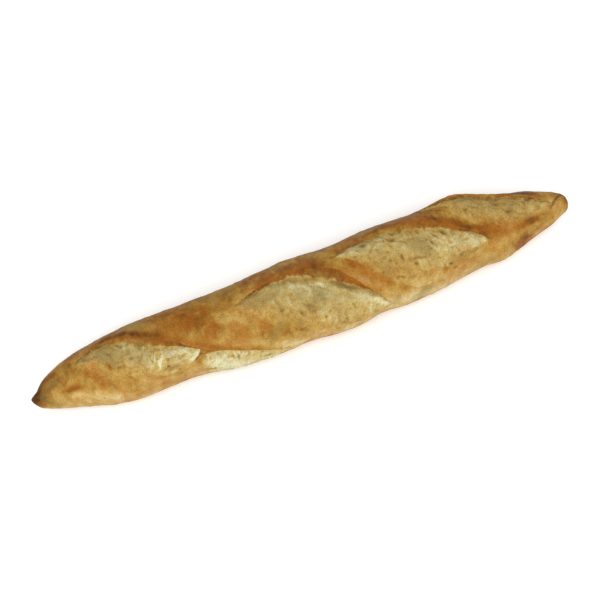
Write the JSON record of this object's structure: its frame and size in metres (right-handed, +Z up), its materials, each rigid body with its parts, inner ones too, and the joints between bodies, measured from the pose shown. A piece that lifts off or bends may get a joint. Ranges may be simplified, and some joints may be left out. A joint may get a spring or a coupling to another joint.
{
  "type": "baguette",
  "caption": "Long crusty white loaf with tapering ends, a flat base and slanting cuts across its top that opened in the oven, each with a lifted edge of crust.",
  "frame": {"origin": "middle of the loaf's flat base, on the surface it lies on", "axes": "+X along the loaf, +Z up; the front flank, where the cuts run down to, faces -Y"},
  "size_m": [0.48, 0.0756, 0.0566],
  "materials": {
    "crust": "satin"
  },
  "bodies": {
    "root": {"loaf": "crust"}
  },
  "joints": []
}
